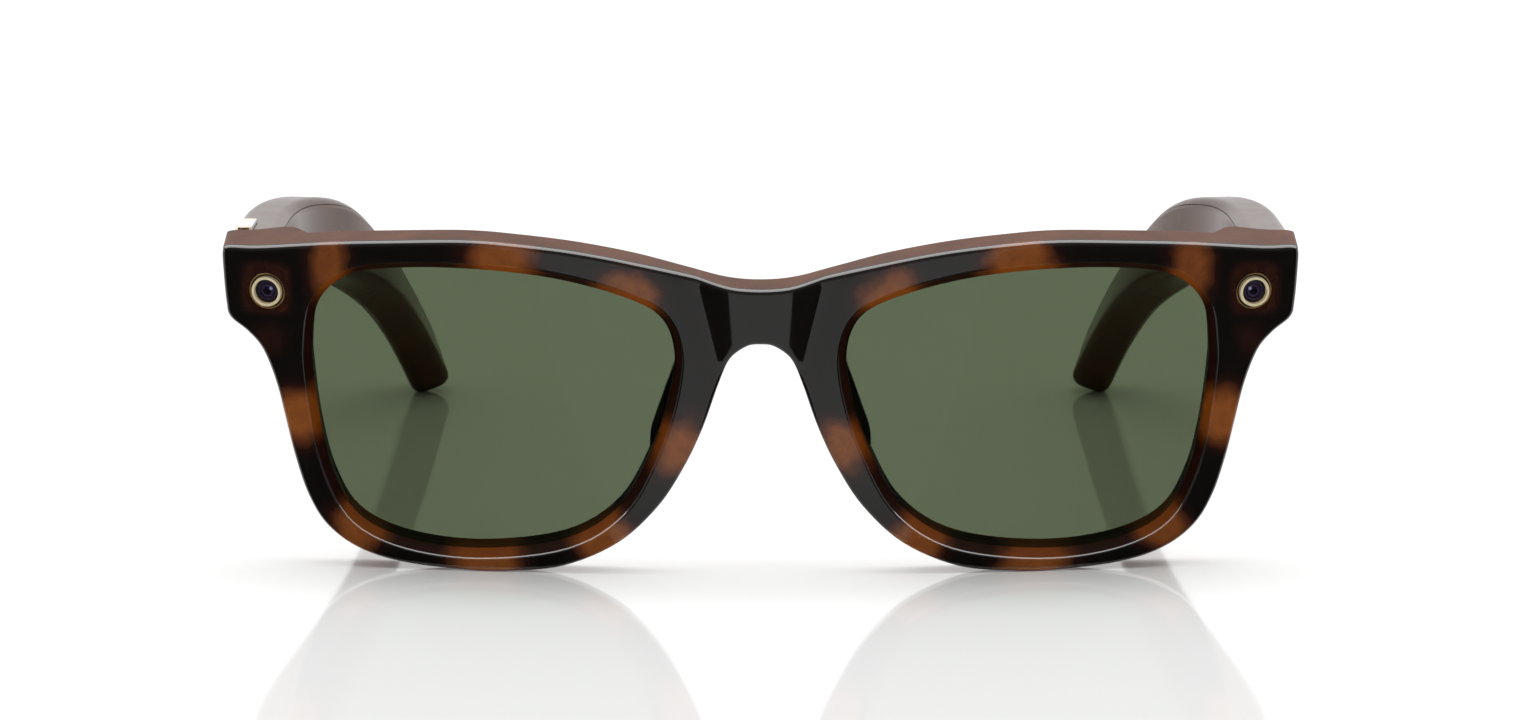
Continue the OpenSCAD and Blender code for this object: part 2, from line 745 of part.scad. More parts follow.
front_frame();
rear_cover();
lens(true);  // lens_left
lens(false);  // lens_right
nose_pad(true);  // nose_pad_left
nose_pad(false);  // nose_pad_right
module_ring(true);  // camera_ring
module_glass(true);  // camera_glass
camera_barrel();
camera_element();
module_board(true);  // camera_board
module_ring(false);  // light_ring
module_glass(false);  // light_glass
light_pipe();
module_board(false);  // light_board
front_flex();
bridge_microphone();
charging_carrier();
charging_contacts();
status_light();
front_hinge(true);  // front_hinge_left
front_hinge(false);  // front_hinge_right
hinge_pin(true);  // hinge_pin_left
hinge_pin(false);  // hinge_pin_right
hinge_anchor_screws();
rear_cover_screws();
temple_shell(false);  // temple_shell_right
temple_cover(false);  // temple_cover_right
temple_hinge(false);  // temple_hinge_right
temple_hinge_screws(false);  // temple_hinge_screws_right
button_switch();
main_board();
board_shield();
touch_strip();
battery(false);  // battery_right
speaker(false);  // speaker_right
speaker_grille(false);  // speaker_grille_right
temple_microphone(false);  // temple_microphone_right
temple_flex(false);  // temple_flex_right
cover_screws(false);  // cover_screws_right
capture_button();
button_caps();
temple_shell(true);  // temple_shell_left
temple_cover(true);  // temple_cover_left
temple_hinge(true);  // temple_hinge_left
temple_hinge_screws(true);  // temple_hinge_screws_left
battery(true);  // battery_left
power_switch();
power_slider();
speaker(true);  // speaker_left
speaker_grille(true);  // speaker_grille_left
temple_microphone(true);  // temple_microphone_left
antenna();
temple_flex(true);  // temple_flex_left
cover_screws(true);  // cover_screws_left
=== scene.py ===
# Looks of the tortoiseshell smart glasses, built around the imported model.
# Shapes are worked out in millimetres, from the same values as the part's source, and stored in metres.

import math

import bmesh
import bpy
from mathutils import Matrix, Vector
from mathutils.geometry import delaunay_2d_cdt


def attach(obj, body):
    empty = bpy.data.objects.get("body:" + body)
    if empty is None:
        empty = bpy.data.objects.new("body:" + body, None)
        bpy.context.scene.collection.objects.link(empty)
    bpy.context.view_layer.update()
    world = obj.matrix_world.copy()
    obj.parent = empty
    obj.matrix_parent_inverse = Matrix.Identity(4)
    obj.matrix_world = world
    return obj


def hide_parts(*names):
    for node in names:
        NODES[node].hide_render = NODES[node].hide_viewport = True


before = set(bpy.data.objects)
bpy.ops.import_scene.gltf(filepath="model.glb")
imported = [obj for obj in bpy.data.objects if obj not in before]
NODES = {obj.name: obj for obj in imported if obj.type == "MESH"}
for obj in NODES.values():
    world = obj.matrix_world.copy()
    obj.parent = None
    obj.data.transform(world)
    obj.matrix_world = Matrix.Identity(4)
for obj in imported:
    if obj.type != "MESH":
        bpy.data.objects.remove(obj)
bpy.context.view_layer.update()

# ---- sizes, in millimetres

MM, PER_METRE = 0.001, 1000
LENS_W, LENS_H, BRIDGE_W = 49.1, 39.2, 23.2
RIM_LOW, RIM_TOP, END_W = 2.9, 4.3, 12.0
FRONT_T, FRONT_R, TILT, LENS_T = 6.0, 280.0, math.radians(6), 2.0
RING_D, MODULE_V, MODULE_IN = 5.0, 37.9, 5.9
TEMPLE_LEN, TEMPLE_H, TEMPLE_T = 141.5, 11.3, 7.0
TIP_H, TIP_T, TOE_IN, WALL = 10.4, 6.2, 13.0, 1.3
KNUCKLE_D, HINGE_H = 3.6, 7.4
BUTTON_LEN, BUTTON_W, BUTTON_TRAVEL = 14.0, 2.2, 0.3
SLACK, GAP = 0.1, 0.3
LENS_CU, LENS_CV = BRIDGE_W / 2 + LENS_W / 2, RIM_LOW + LENS_H / 2
HALF_W = LENS_CU + LENS_W / 2 + END_W
FRONT_H = RIM_LOW + LENS_H + RIM_TOP
END_TOP, BROW_MID = FRONT_H - 2.4, FRONT_H - 6.1
ARCH_V = BROW_MID - 7.7
RING_U = HALF_W - MODULE_IN
SEAM_Y = 13.0
COS, SIN = math.cos(TILT), math.sin(TILT)


def sag(u, depth=0.0):
    """Where the cylinder at a depth behind the outer face lies, at u."""
    return FRONT_R - math.sqrt((FRONT_R - depth) ** 2 - u * u)


DROP = sag(LENS_CU + 0.14 * (LENS_W / 2 + RIM_LOW)) * SIN
TOP_Z = END_TOP * COS + (SEAM_Y / COS + END_TOP * SIN / COS) * SIN - 0.9


def share(a, b, grow=0.0):
    """A point given in shares of the lens's half sizes, each grown by some millimetres."""
    return (LENS_CU + a * (LENS_W / 2 + grow), LENS_CV + b * (LENS_H / 2 + grow))


LENS = [(1, 0.434), (0.955, 0.735), (0.78, 0.929), (0.483, 0.992), (0.075, 1), (-0.332, 0.954),
        (-0.699, 0.842), (-0.919, 0.699), (-1, 0.444), (-0.967, 0.102), (-0.861, -0.291),
        (-0.69, -0.668), (-0.397, -0.908), (0.075, -1), (0.483, -0.954), (0.752, -0.801),
        (0.886, -0.52), (0.955, -0.179), (0.992, 0.179)]
RIM = [(-1.109, 0.187), (-1.036, -0.067), (-0.942, -0.316), (-0.811, -0.569), (-0.614, -0.8),
       (-0.348, -0.951), (-0.078, -0.996), (0.14, -1), (0.461, -0.969), (0.679, -0.893),
       (0.832, -0.76), (0.923, -0.578), (0.985, -0.347), (1.033, -0.098), (1.076, 0.12),
       (1.138, 0.316)]
BROW_SHARES = [(0.89, 1.1), (0.564, 0.5), (0.157, 0), (-0.128, 0.3), (-0.454, 1.1), (-0.78, 2.5),
               (-1.065, 4.3)]

HALF = ([(0, ARCH_V), (0.082 * BRIDGE_W, ARCH_V - 0.3), (0.177 * BRIDGE_W, ARCH_V - 2.1)]
        + [share(a, b, RIM_LOW) for a, b in RIM]
        + [(HALF_W - 3.3, END_TOP - 12), (HALF_W - 0.9, END_TOP - 10.1), (HALF_W - 0.35, END_TOP - 8),
           (HALF_W, END_TOP - 3.2), (HALF_W, END_TOP - 0.8), (HALF_W - 0.7, END_TOP),
           (HALF_W - 4.9, END_TOP + 0.2)]
        + [(LENS_CU + a * LENS_W / 2, FRONT_H - d) for a, d in BROW_SHARES]
        + [(0.2 * BRIDGE_W, FRONT_H - 5.7), (0, BROW_MID)])
OUTLINE = HALF + [(-u, v) for u, v in HALF[-2:0:-1]]
BROW = HALF[-10:]


def blend(a, b, c, d, t):
    """The Catmull-Rom curve from b to c at t."""
    bend, twist = 2 * a - 5 * b + 4 * c - d, 3 * b - a - 3 * c + d
    return 0.5 * (2 * b + (c - a) * t + bend * t * t + twist * t ** 3)


def smooth(points, steps, closed=True):
    """A smooth curve through 2-D points."""
    n = len(points)
    at = (lambda i: points[i % n]) if closed else (lambda i: points[min(max(i, 0), n - 1)])
    out = [tuple(blend(at(i - 1)[k], at(i)[k], at(i + 1)[k], at(i + 2)[k], j / steps) for k in (0, 1))
           for i in range(n if closed else n - 1) for j in range(steps)]
    return out if closed else out + [points[-1]]


def signed_area(loop):
    """Positive where the loop runs counter-clockwise."""
    return sum(a[0] * b[1] - b[0] * a[1] for a, b in zip(loop, loop[1:] + loop[:1])) / 2


def inside(loops, u, v):
    """Whether the point lies inside an odd number of the loops."""
    odd = False
    for loop in loops:
        for (a, b), (c, d) in zip(loop, loop[1:] + loop[:1]):
            if (b > v) != (d > v) and u < (c - a) * (v - b) / (d - b) + a:
                odd = not odd
    return odd


def inset(loop, w):
    """The loop moved w towards the material, which is on its left."""
    n, out = len(loop), []
    for i, p in enumerate(loop):
        a, b = loop[i - 1], loop[(i + 1) % n]
        du, dv = b[0] - a[0], b[1] - a[1]
        length = math.hypot(du, dv) or 1
        out.append((p[0] - dv / length * w, p[1] + du / length * w))
    return out


def plate(loops, front, back, front_edges, back_edges, grid=1.6, extra=()):
    """A plate with shaped edges: loops[0] is its outline, the others are openings.
    front(u, v) and back(u, v) give its two faces. An edge is a list of (inset, depth) from the face to the
    wall, one for the outline and one for the openings."""
    loops = [lp if (signed_area(lp) > 0) == (k == 0) else lp[::-1] for k, lp in enumerate(loops)]
    verts, faces = [], []
    caps = [[], []]
    for k, loop in enumerate(loops):
        ahead, behind = front_edges[min(k, 1)], back_edges[min(k, 1)]
        profile = [(w, 0, d) for w, d in ahead] + [(w, 1, d) for w, d in reversed(behind)]
        rings = []
        for w, side, depth in profile:
            ring = inset(loop, w)
            rings.append(range(len(verts), len(verts) + len(ring)))
            verts += [(u, front(u, v) + depth if side == 0 else back(u, v) - depth, v) for u, v in ring]
        n = len(loop)
        for a, b in zip(rings, rings[1:]):
            faces += [(a[i], b[i], b[(i + 1) % n], a[(i + 1) % n]) for i in range(n)]
        caps[0].append((rings[0], inset(loop, ahead[0][0])))
        caps[1].append((rings[-1], inset(loop, behind[0][0])))
    for side, cap in enumerate(caps):
        flat, index, edges = [], [], []
        for ring, pts in cap:
            s = len(flat)
            flat += [Vector(p) for p in pts]
            index += list(ring)
            edges += [(s + i, s + (i + 1) % len(pts)) for i in range(len(pts))]
        bounds = [pts for _, pts in cap]
        margin = [inset(pts, 0.5) for pts in bounds]
        us = [p[0] for p in bounds[0]]
        vs = [p[1] for p in bounds[0]]
        spots = [(min(us) + grid * i, min(vs) + grid * j) for i in range(int((max(us) - min(us)) / grid) + 1)
                 for j in range(int((max(vs) - min(vs)) / grid) + 1)]
        for u, v in spots + list(extra):
            if inside(margin, u, v) and inside(bounds, u, v):
                flat.append(Vector((u, v)))
                index.append(len(verts))
                verts.append((u, front(u, v) if side == 0 else back(u, v), v))
        made = delaunay_2d_cdt(flat, edges, [], 0, 1e-6)
        old = []
        for p, o in zip(made[0], made[3]):
            old.append(index[o[0]] if o else len(verts))
            if not o:
                verts.append((p.x, front(p.x, p.y) if side == 0 else back(p.x, p.y), p.y))
        for tri in made[2]:
            c = sum((made[0][i] for i in tri), Vector((0, 0))) / 3
            ids = [old[i] for i in tri]
            if not inside(bounds, c.x, c.y):
                continue
            faces.append(tuple(ids) if side == 0 else tuple(reversed(ids)))
    return verts, faces


def in_front(p):
    """From the front's own plane to the row frame, in millimetres."""
    x, y, z = p[0], p[1], p[2] - DROP / COS
    return (x, y * COS - z * SIN - MID_Y, y * SIN + z * COS)


def mesh_object(name, verts, faces, place=None):
    """An object in the scene, made from millimetres."""
    mesh = bpy.data.meshes.new(name)
    if place:
        verts = [place(v) for v in verts]
    mesh.from_pydata([[c * MM for c in v] for v in verts], [], faces)
    bm = bmesh.new()
    bm.from_mesh(mesh)
    bmesh.ops.recalc_face_normals(bm, faces=bm.faces)
    bm.to_mesh(mesh)
    bm.free()
    mesh.update()
    obj = bpy.data.objects.new(name, mesh)
    bpy.context.scene.collection.objects.link(obj)
    return obj


def box(x0, x1, y0, y1, z0, z1):
    """A box between two values on each axis."""
    verts = [(x, y, z) for x in (x0, x1) for y in (y0, y1) for z in (z0, z1)]
    return verts, [(0, 1, 3, 2), (4, 6, 7, 5), (0, 4, 5, 1), (2, 3, 7, 6), (0, 2, 6, 4), (1, 5, 7, 3)]


def tube(d, z0, z1, n=48):
    """A round bar of diameter d, along z."""
    verts = [(d / 2 * math.cos(2 * math.pi * i / n), d / 2 * math.sin(2 * math.pi * i / n), z)
             for z in (z0, z1) for i in range(n)]
    return verts, ([tuple(range(n))[::-1], tuple(range(n, 2 * n))]
                   + [(i, (i + 1) % n, n + (i + 1) % n, n + i) for i in range(n)])


def put(shape, matrix):
    """The shape moved by a matrix."""
    return [tuple(matrix @ Vector(v)) for v in shape[0]], shape[1]


def cut(obj, cutters, operation="DIFFERENCE"):
    """Cuts each cutter, in millimetres of the row frame, out of the object, or keeps what both share."""
    for k, (verts, faces) in enumerate(cutters):
        tool = mesh_object("tool", verts, faces)
        mod = obj.modifiers.new("cut", "BOOLEAN")
        mod.solver, mod.operation, mod.object = "EXACT", operation, tool
        done = bpy.data.meshes.new_from_object(obj.evaluated_get(bpy.context.evaluated_depsgraph_get()))
        obj.modifiers.clear()
        old, obj.data = obj.data, done
        bpy.data.meshes.remove(old)
        bpy.data.objects.remove(tool)
    return obj


def polish(obj, angle=32):
    """Smooth shading that breaks at edges sharper than the angle, in degrees."""
    obj.data.polygons.foreach_set("use_smooth", [True] * len(obj.data.polygons))
    obj.data.set_sharp_from_angle(angle=math.radians(angle))
    mod = obj.modifiers.new("normals", "WEIGHTED_NORMAL")
    mod.keep_sharp = True
    mod.weight = 80
    return obj


# ---- the line of a temple

BASE_SLOPE, BASE_LEAN, ROLL_MAX, SPINE_DROP, HINGE_END_H, STEPS = 3.7, -0.5, 26.0, 5.9, 10.0, 60
TIP_R = TIP_H / 2


def ease(a, b, x):
    """0 before a and 1 after b, with a soft step between them."""
    t = min(max((x - a) / (b - a), 0), 1)
    return t * t * (3 - 2 * t)


class Temple:
    """The wearer's left temple: its frame at s is (middle, outward, along, up)."""

    def __init__(self, last):
        self.last = last
        self.line = [Vector((HALF_W - TEMPLE_T / 2, SEAM_Y + GAP, TOP_Z - SPINE_DROP))]
        for i in range(STEPS):
            along = self.directions((i + 0.5) * TEMPLE_LEN / STEPS)[0]
            self.line.append(self.line[-1] + along * (TEMPLE_LEN / STEPS))

    def directions(self, s):
        a = math.radians(BASE_SLOPE + (self.last - BASE_SLOPE) * ease(41, TEMPLE_LEN + 1.5, s))
        b = math.radians(BASE_LEAN + (TOE_IN - BASE_LEAN) * ease(26, 78, s))
        along = Vector((-math.cos(a) * math.sin(b), math.cos(a) * math.cos(b), -math.sin(a)))
        rise = Vector((-math.sin(a) * math.sin(b), math.sin(a) * math.cos(b), math.cos(a)))
        return along, rise

    def frame(self, s):
        step = TEMPLE_LEN / STEPS
        i = min(int(s / step), STEPS - 1)
        p = self.line[i].lerp(self.line[i + 1], s / step - i)
        along, rise = self.directions(s)
        side, t = along.cross(rise), math.radians(ROLL_MAX * ease(63, 110, s))
        up = rise * math.cos(t) + side * math.sin(t)
        out = side * math.cos(t) - rise * math.sin(t)
        return p + rise * (SPINE_DROP - height(s) / 2), out, along, up

    def ring(self, s, shrink=0.0, n=2):
        p, out, _, up = self.frame(s)
        t = max(0.0, (s - TEMPLE_LEN + TIP_R) / TIP_R)
        c = math.sqrt(max(1 - t * t, 0.002))
        hh, ww = height(s) / 2 * c - shrink, thick(s) / 2 * (0.45 + 0.55 * c) - shrink
        r = min(1.7, hh * 0.6, ww * 0.6)
        pts = []
        for qx, qy, start in ((1, 1, 0), (-1, 1, 90), (-1, -1, 180), (1, -1, 270)):
            for k in range(n + 1):
                a = math.radians(start + 90 * k / n)
                aside, above = qx * (ww - r) + r * math.cos(a), qy * (hh - r) + r * math.sin(a)
                pts.append(p + out * aside + up * above)
        return pts


def height(s):
    """How high the temple is at s."""
    return HINGE_END_H + (TEMPLE_H - HINGE_END_H) * ease(2, 25, s) + (TIP_H - TEMPLE_H) * ease(90, 130, s)


def thick(s):
    """How thick the temple is at s."""
    return TEMPLE_T + (TIP_T - TEMPLE_T) * ease(0, TEMPLE_LEN, s)


# The last slope is found by halving a range until the lowest point of the tip meets the floor
TIP_STEPS = (0, 0.3, 0.55, 0.75, 0.88, 0.96, 1)
low, high = 5.0, 80.0
for _ in range(16):
    mid = (low + high) / 2
    trial = Temple(mid)
    foot = min(p.z for t in TIP_STEPS for p in trial.ring(TEMPLE_LEN - TIP_R + t * TIP_R))
    low, high = (mid, high) if foot > 0 else (low, mid)
TEMPLE = Temple((low + high) / 2)
BACK_Y = max(p.y for t in TIP_STEPS for p in TEMPLE.ring(TEMPLE_LEN - TIP_R + t * TIP_R))
FRONT_Y = min(sag(u) * COS - v * SIN for u, v in OUTLINE)
MID_Y = (FRONT_Y + BACK_Y) / 2
HINGE_X, HINGE_Y = HALF_W - TEMPLE_T + 0.5, SEAM_Y + KNUCKLE_D / 2 + 0.6
HINGE_LOW = TOP_Z - 1.3 - HINGE_H


def at_side(left):
    """Puts a point of the wearer's left temple in the row frame, mirrored for the right."""
    return lambda p: (p[0] if left else -p[0], p[1] - MID_Y, p[2])


def sweep(rings):
    """A solid through the rings, closed at both ends."""
    n = len(rings[0])
    verts = [tuple(p) for r in rings for p in r]
    faces = [tuple(range(n))[::-1], tuple(range((len(rings) - 1) * n, len(rings) * n))]
    for a in range(0, (len(rings) - 1) * n, n):
        b = a + n
        faces += [(a + i, a + (i + 1) % n, b + (i + 1) % n, b + i) for i in range(n)]
    return verts, faces


def strip(a, b, o0, o1, u0, u1, n=60):
    """A box that follows the temple from a to b; o is outward and u is up."""
    rings = []
    for i in range(n + 1):
        p, out, _, up = TEMPLE.frame(a + (b - a) * i / n)
        rings.append([p + out * o + up * u for o, u in ((o1, u0), (o1, u1), (o0, u1), (o0, u0))])
    return sweep(rings)


def temple_matrix(s):
    """The temple's frame at s, as a matrix."""
    p, out, along, up = TEMPLE.frame(s)
    m = Matrix((out, along, up)).transposed().to_4x4()
    m.translation = p
    return m


def placed(shape, left):
    """A shape of the wearer's left temple, put at its side."""
    place = at_side(left)
    return [place(v) for v in shape[0]], shape[1]


CAV_FROM, CAV_TO, COVER_T = 18.0, 98.0, 1.2
CAV_U, COVER_IN = TEMPLE_H / 2 - WALL - 0.4, -TIP_T / 2 + COVER_T


def temple_body():
    """A whole temple, eased at the hinge end and rounded at the tip."""
    eased, start, tip = 0.35, 0.5, TEMPLE_LEN - TIP_R
    rings = [TEMPLE.ring(eased * (1 - math.cos(a)), eased * (1 - math.sin(a)), 8)
             for a in [math.pi / 2 * i / 5 for i in range(6)]]
    rings += [TEMPLE.ring(start + (tip - start) * i / 110, 0, 8) for i in range(111)]
    rings += [TEMPLE.ring(tip + TIP_R * math.sin(math.pi / 2 * i / 14), 0, 8) for i in range(1, 15)]
    return sweep(rings)


def pill(length, width, z0, z1, n=16):
    """A straight-sided bar with round ends, along y."""
    r, half = width / 2, (length - width) / 2
    loop = []
    for end, start in ((1, 0.0), (-1, math.pi)):
        turns = [start + math.pi * i / n for i in range(n + 1)]
        loop += [(r * math.cos(a), end * half + r * math.sin(a)) for a in turns]
    m = len(loop)
    verts = [(x, y, z) for z in (z0, z1) for x, y in loop]
    return verts, ([tuple(range(m))[::-1], tuple(range(m, 2 * m))]
                   + [(i, (i + 1) % m, m + (i + 1) % m, m + i) for i in range(m)])


# ---- materials


class Tree:
    """A material whose nodes are added one by one."""

    def __init__(self, name):
        self.mat = bpy.data.materials.new(name)
        self.mat.use_nodes = True
        self.tree = self.mat.node_tree
        self.shader = next(n for n in self.tree.nodes if n.type == "BSDF_PRINCIPLED")

    def add(self, kind, inputs=(), **settings):
        node = self.tree.nodes.new(kind)
        for key, value in settings.items():
            setattr(node, key, value)
        for key, value in dict(inputs).items():
            if isinstance(value, bpy.types.NodeSocket):
                self.tree.links.new(value, node.inputs[key])
            else:
                node.inputs[key].default_value = value
        return node

    def math(self, operation, a, b=0.0, clamp=False):
        return self.add("ShaderNodeMath", {0: a, 1: b}, operation=operation, use_clamp=clamp).outputs[0]

    def noise(self, vector, scale, detail=3.0, rough=0.55):
        return self.add("ShaderNodeTexNoise", {"Vector": vector, "Scale": scale, "Detail": detail,
                                               "Roughness": rough})

    def ramp(self, value, stops):
        node = self.add("ShaderNodeValToRGB", {"Fac": value})
        ramp = node.color_ramp
        while len(ramp.elements) < len(stops):
            ramp.elements.new(1.0)
        for element, (at, colour) in zip(ramp.elements, stops):
            element.position = at
            element.color = (*colour, 1.0)
        return node.outputs["Color"]

    def shade(self, **values):
        """Sets the shader's own sockets; a node socket is linked."""
        names = {"colour": "Base Color", "rough": "Roughness", "metal": "Metallic", "coat": "Coat Weight",
                 "coat_rough": "Coat Roughness", "ior": "IOR", "glass": "Transmission Weight",
                 "specular": "Specular IOR Level", "normal": "Normal", "glow": "Emission Strength",
                 "glow_colour": "Emission Color"}
        for key, value in values.items():
            socket = self.shader.inputs[names[key]]
            if isinstance(value, bpy.types.NodeSocket):
                self.tree.links.new(value, socket)
            elif isinstance(value, tuple):
                socket.default_value = (*value, 1.0)
            else:
                socket.default_value = value
        return self.mat

    def bump(self, value, distance, strength=1.0):
        node = self.add("ShaderNodeBump", {"Height": value, "Distance": distance, "Strength": strength})
        return node.outputs[0]


def spread(t, value, low, high):
    """A 0 to 1 value stretched to low..high."""
    return t.add("ShaderNodeMapRange", {"Value": value, "To Min": low, "To Max": high}).outputs[0]


def fade(t, value, none, full, most=1.0):
    """Nothing where the value is at none, rising softly to most where it is at full."""
    return t.add("ShaderNodeMapRange", {"Value": value, "From Min": none, "From Max": full, "To Max": most},
                 interpolation_type="SMOOTHSTEP").outputs[0]


def object_place(t):
    """The object's own coordinates, in metres."""
    return t.add("ShaderNodeTexCoord").outputs["Object"]


def around(t, vector, place, size, turn=0.0):
    """The vector seen from a place, in units of the size, turned by some degrees."""
    return t.add("ShaderNodeMapping", {"Vector": vector, "Location": place,
                                       "Rotation": (0, 0, math.radians(turn)), "Scale": size},
                 vector_type="TEXTURE").outputs[0]


def folded(t, vector):
    """The vector laid in the plane of the front, with its two sides on each other."""
    split = t.add("ShaderNodeSeparateXYZ", {0: vector})
    flat = t.add("ShaderNodeCombineXYZ", {"X": t.math("ABSOLUTE", split.outputs[0]), "Y": split.outputs[2]})
    return flat.outputs[0]


def plain(name, colour, rough, metal=0.0, coat=0.0, grain=900.0, vary=0.12, bump=0.00001, stretch=(1, 1, 1)):
    """A finish with fine variation in colour, gloss and surface."""
    t = Tree(name)
    where = t.add("ShaderNodeMapping", {"Vector": object_place(t), "Scale": stretch})
    fine = t.noise(where.outputs[0], grain, 4.0).outputs["Fac"]
    broad = t.noise(where.outputs[0], grain / 9, 2.0).outputs["Fac"]
    dark = tuple(c * (1 - vary) for c in colour)
    light = tuple(min(1.0, c * (1 + vary)) for c in colour)
    mixed = t.math("MULTIPLY_ADD", fine, 0.6)
    mixed.node.inputs[2].default_value = 0.2
    both = t.math("MULTIPLY", t.math("ADD", mixed, broad), 0.5)
    return t.shade(colour=t.ramp(both, [(0.3, dark), (0.7, light)]),
                   rough=spread(t, fine, rough * 0.8, min(1.0, rough * 1.25)), metal=metal, coat=coat,
                   coat_rough=0.06, normal=t.bump(fine, bump, 0.6))


ACETATE_IOR, RIPPLE = 1.46, (0.000004, 0.3)
# Amber patches of the front, as (u, v, half width, half height, turn in degrees, strength)
PATCHES = [(58.2, 42.4, 3.2, 5.6, 6, 0.78), (34.6, 44.0, 5.4, 3.6, 0, 0.9), (17.2, 39.8, 4.8, 3.2, 28, 0.85),
           (62.6, 20.6, 4.0, 4.6, 14, 0.95), (54.4, 5.8, 4.8, 3.8, -42, 0.9), (37.2, 1.2, 5.4, 3.8, 0, 0.95),
           (20.8, 4.8, 5.4, 3.9, 32, 0.95), (11.2, 18.4, 3.4, 4.6, 24, 0.9), (66.2, 31.0, 2.0, 2.4, 0, 0.25)]
DARKEST, DEEP = (0.0052, 0.0042, 0.0036), (0.018, 0.0062, 0.0044)
BROWN, AMBER = (0.088, 0.026, 0.008), (0.225, 0.068, 0.016)
# Warmer tones for the walls of the openings, a painted glow of light through the acetate's edges
RIM_GLOW_TONES = ((0.006, 0.003, 0.002), (0.014, 0.004, 0.002), (0.062, 0.016, 0.003), (0.165, 0.041, 0.005))
# How far the patches wander in millimetres, and where they begin and are full, in shares of their half size
WARP, PATCH_EDGE, PATCH_CORE = 3.6, 1.45, 0.35
# The painted glow round each module, light shining through the acetate: its half sizes, how far above the
# module it sits, and how amber it makes the face
MODULE_PAINTED_GLOW_HALF, MODULE_PAINTED_GLOW_UP, MODULE_PAINTED_GLOW_AMBER = (3.5, 3.7, 1), 0.5, 0.31
STREAKS = (0.09, 0.042, 0.09)


def placed_patches(t, straight, warped, patches):
    """How amber the front is: the given patches, and a painted glow round each module, a soft red-brown
    square standing in for light shining through the acetate there.
    """
    flat, amber = folded(t, warped), 0.0
    for u, v, half_u, half_v, turn, strength in patches:
        spot = around(t, flat, (u, v, 0), (half_u, half_v, 1), turn)
        far = t.add("ShaderNodeVectorMath", {0: spot}, operation="LENGTH").outputs["Value"]
        amber = t.math("MAXIMUM", fade(t, far, PATCH_EDGE, PATCH_CORE, strength), amber)
    # Painted glow: a soft square round each module
    near = around(t, folded(t, straight), (RING_U, MODULE_V + MODULE_PAINTED_GLOW_UP, 0), MODULE_PAINTED_GLOW_HALF)
    power = t.add("ShaderNodeSeparateXYZ", {0: near})
    square = t.math("ADD", t.math("POWER", t.math("ABSOLUTE", power.outputs[0]), 4.0),
                    t.math("POWER", t.math("ABSOLUTE", power.outputs[1]), 4.0))
    return t.math("MAXIMUM", fade(t, square, 1.5, 0.5, MODULE_PAINTED_GLOW_AMBER), amber)


def scattered_patches(t, warped):
    """How amber a temple is: long patches, scattered."""
    drawn = t.add("ShaderNodeMapping", {"Vector": warped, "Scale": STREAKS}).outputs[0]
    return fade(t, t.noise(drawn, 1.0, 1.5, 0.4).outputs["Fac"], 0.46, 0.66)


def tortoise(name, patches, gloss, lift=0.0, rough=(0.07, 0.13), tones=(DARKEST, DEEP, BROWN, AMBER)):
    """Polished acetate: near black with soft amber patches, either at given places or scattered."""
    t = Tree(name)
    turn, shift = 0.0, (0, 0, 0)
    if patches:
        turn = -TILT
        shift = Matrix.Rotation(turn, 3, "X") @ Vector((0, MID_Y, 0)) + Vector((0, 0, DROP / COS))
    p = t.add("ShaderNodeMapping", {"Vector": object_place(t), "Location": shift, "Rotation": (turn, 0, 0),
                                    "Scale": (PER_METRE,) * 3}).outputs[0]
    wobble = t.noise(p, 0.17, 3.0).outputs["Color"]
    centred = t.add("ShaderNodeVectorMath", {0: wobble, 1: (0.5, 0.5, 0.5)}, operation="SUBTRACT").outputs[0]
    warped = t.add("ShaderNodeVectorMath", {0: centred, 1: (WARP, WARP, WARP), 2: p},
                   operation="MULTIPLY_ADD").outputs[0]
    amber = placed_patches(t, p, warped, patches) if patches else scattered_patches(t, warped)
    cloud = t.noise(warped, 0.55, 5.0, 0.6).outputs["Fac"]
    grain = t.noise(p, 5.0, 2.0).outputs["Fac"]
    stir = t.math("ADD", t.math("MULTIPLY", amber, 0.35), 0.1)
    cloudy = t.math("MULTIPLY", t.math("SUBTRACT", cloud, 0.5), stir)
    grainy = t.math("MULTIPLY", t.math("SUBTRACT", grain, 0.5), t.math("MULTIPLY", amber, 0.22))
    mixed = t.math("ADD", t.math("ADD", t.math("ADD", amber, cloudy), grainy), lift, True)
    colour = t.ramp(mixed, list(zip((0.0, 0.3, 0.62, 1.0), tones)))
    return t.shade(colour=colour, rough=spread(t, cloud, *rough), ior=ACETATE_IOR, specular=gloss,
                   normal=t.bump(cloud, *RIPPLE))


def sheet(name, dark, light, gloss):
    """The plainer brown sheet behind the tortoise one, seen from its edge and from behind."""
    t = Tree(name)
    at = object_place(t)
    cloud = t.noise(at, 160.0, 4.0).outputs["Fac"]
    grain = t.noise(at, 1500.0, 2.0).outputs["Fac"]
    value = t.math("ADD", t.math("MULTIPLY", cloud, 0.85), t.math("MULTIPLY", grain, 0.15))
    return t.shade(colour=t.ramp(value, [(0.3, dark), (0.7, light)]),
                   rough=spread(t, cloud, 0.14, 0.24), ior=ACETATE_IOR, specular=gloss,
                   normal=t.bump(cloud, *RIPPLE))


LENS_TINT = (0.098, 0.122, 0.073)


def lens_green(name):
    """Clear green, hardly uneven, with a low IOR so that it mirrors little."""
    t = Tree(name)
    cloud = t.noise(object_place(t), 60.0, 2.0).outputs["Fac"]
    lighter = tuple(c * 1.01 for c in LENS_TINT)
    return t.shade(colour=t.ramp(cloud, [(0.3, LENS_TINT), (0.7, lighter)]), rough=0.0, glass=1.0, ior=1.08)


